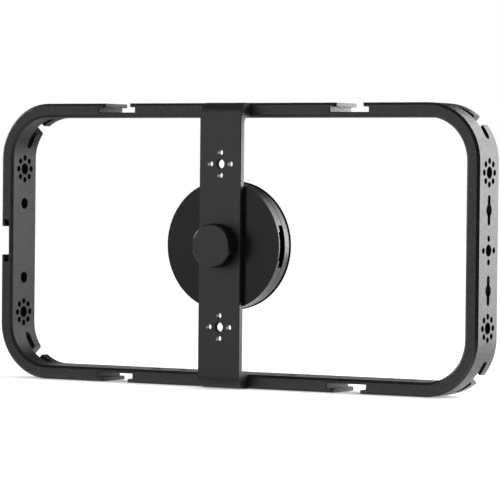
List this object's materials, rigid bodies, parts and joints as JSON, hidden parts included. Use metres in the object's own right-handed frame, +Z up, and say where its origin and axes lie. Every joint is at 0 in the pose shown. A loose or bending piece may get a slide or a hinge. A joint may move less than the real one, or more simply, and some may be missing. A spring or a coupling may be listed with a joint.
{
  "type": "phone cage",
  "caption": "Flat rounded metal ring with accessory shoes and tapped holes, bridged by a bar on which a thumb knob clamps a round magnetic phone mount.",
  "frame": {"origin": "middle of the lower rail's under face, at mid depth of the ring", "axes": "+X to the right seen from the knob's side, -Y towards the knob, +Z up"},
  "size_m": [0.244, 0.0359, 0.1255],
  "materials": {
    "anodised": "bead blasted and black anodised, satin",
    "anodised_smooth": "turned and black anodised, satin",
    "black_steel": "black oxide",
    "bright_steel": "turned, bright",
    "brass": "turned",
    "nickel": "nickel plated",
    "rubber": "matte",
    "film": "double-sided film",
    "washer_plastic": "moulded, matte black"
  },
  "bodies": {
    "frame": {"cage_frame": "anodised", "bridge_bar": "anodised", "bridge_screws": "black_steel"},
    "mount": {"mount_front_shell": "anodised_smooth", "mount_bush": "brass", "friction_ring": "rubber", "mount_rear_shell": "anodised_smooth", "shunt_ring": "bright_steel", "shell_screws": "black_steel", "pad_film": "film", "grip_pad": "rubber", "ring_magnet_1": "nickel", "ring_magnet_2": "nickel", "ring_magnet_3": "nickel", "ring_magnet_4": "nickel", "ring_magnet_5": "nickel", "ring_magnet_6": "nickel", "ring_magnet_7": "nickel", "ring_magnet_8": "nickel", "ring_magnet_9": "nickel", "ring_magnet_10": "nickel", "ring_magnet_11": "nickel", "ring_magnet_12": "nickel", "ring_magnet_13": "nickel", "ring_magnet_14": "nickel", "ring_magnet_15": "nickel", "ring_magnet_16": "nickel"},
    "washer": {"knob_washer": "washer_plastic"},
    "knob": {"knob_cap": "anodised", "knob_stud": "bright_steel"}
  },
  "joints": [
    {"name": "mount_turn", "type": "hinge", "parent": "frame", "child": "mount", "pos_m": [0, -0.01, 0.06275], "axis": [0, -1, 0], "continuous": true},
    {"name": "knob_travel", "type": "slide", "parent": "frame", "child": "washer", "axis": [0, -1, 0], "range_m": [0, 0.00381]},
    {"name": "knob_turn", "type": "hinge", "parent": "washer", "child": "knob", "pos_m": [0, -0.022, 0.06275], "axis": [0, -1, 0], "range_deg": [0, 1080]}
  ],
  "couplings": [
    {"joint": "knob_travel", "follows": "knob_turn", "m_per_rad": 0.00020213}
  ]
}
